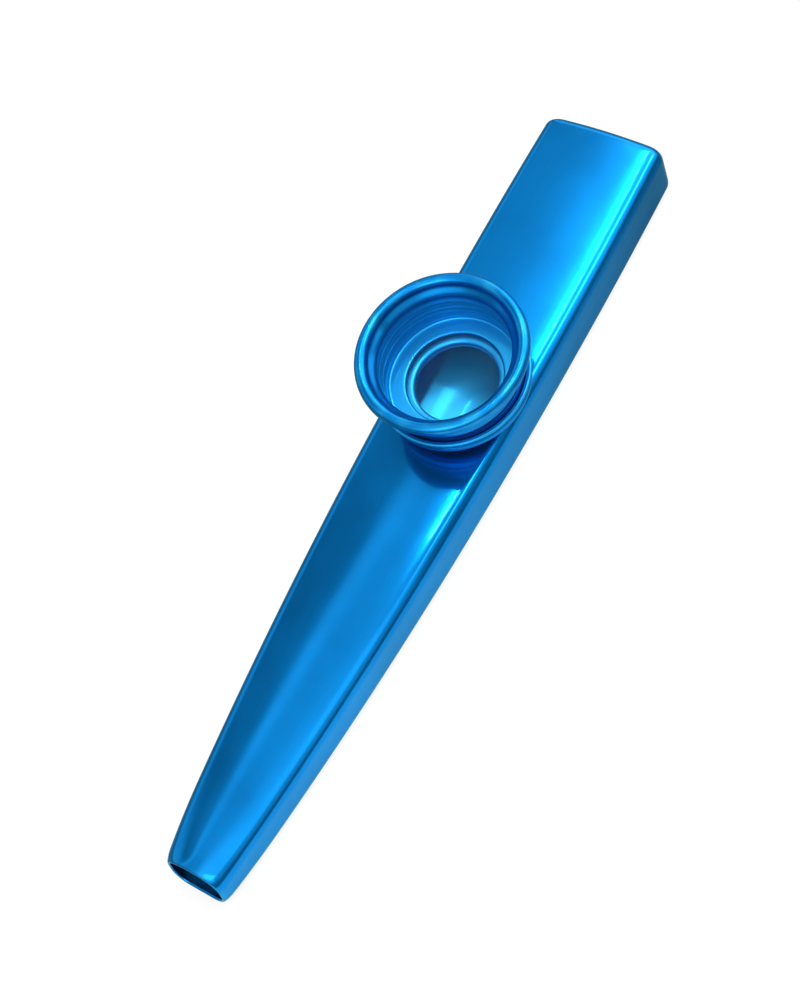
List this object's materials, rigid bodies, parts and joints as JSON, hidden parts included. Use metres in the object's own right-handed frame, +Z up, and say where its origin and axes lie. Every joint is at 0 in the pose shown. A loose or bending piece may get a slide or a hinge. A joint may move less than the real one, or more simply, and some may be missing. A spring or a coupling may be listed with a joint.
{
  "type": "kazoo",
  "caption": "Slim tapered metal kazoo with rounded edges, open turned-in ends and a screw-in cup that clamps a buzzing membrane over a sound hole in the top.",
  "frame": {"origin": "middle of the body's length and width, on the plane of its flat underside", "axes": "+X along the body towards its wide end, +Z up through the turret, +Y to the left seen from the narrow end"},
  "size_m": [0.12, 0.0242, 0.0196],
  "materials": {
    "body": "glossy blue anodised",
    "collar": "glossy blue anodised",
    "ring": "plain card",
    "film": "thin clear film",
    "cup": "glossy blue anodised"
  },
  "bodies": {
    "shell": {"body_shell": "body", "turret_collar": "collar"},
    "membrane": {"membrane_ring": "ring", "membrane_film": "film"},
    "cup": {"screw_cup": "cup"}
  },
  "joints": [
    {"name": "cup_turn", "type": "hinge", "parent": "shell", "child": "membrane", "pos_m": [0.0156, 0, 0.0111], "axis": [0, 0, 1], "range_deg": [0, 450]},
    {"name": "cup_lift", "type": "slide", "parent": "membrane", "child": "cup", "axis": [0, 0, 1], "range_m": [0, 0.00225]}
  ],
  "couplings": [
    {"joint": "cup_lift", "follows": "cup_turn", "m_per_rad": 0.00028647}
  ]
}
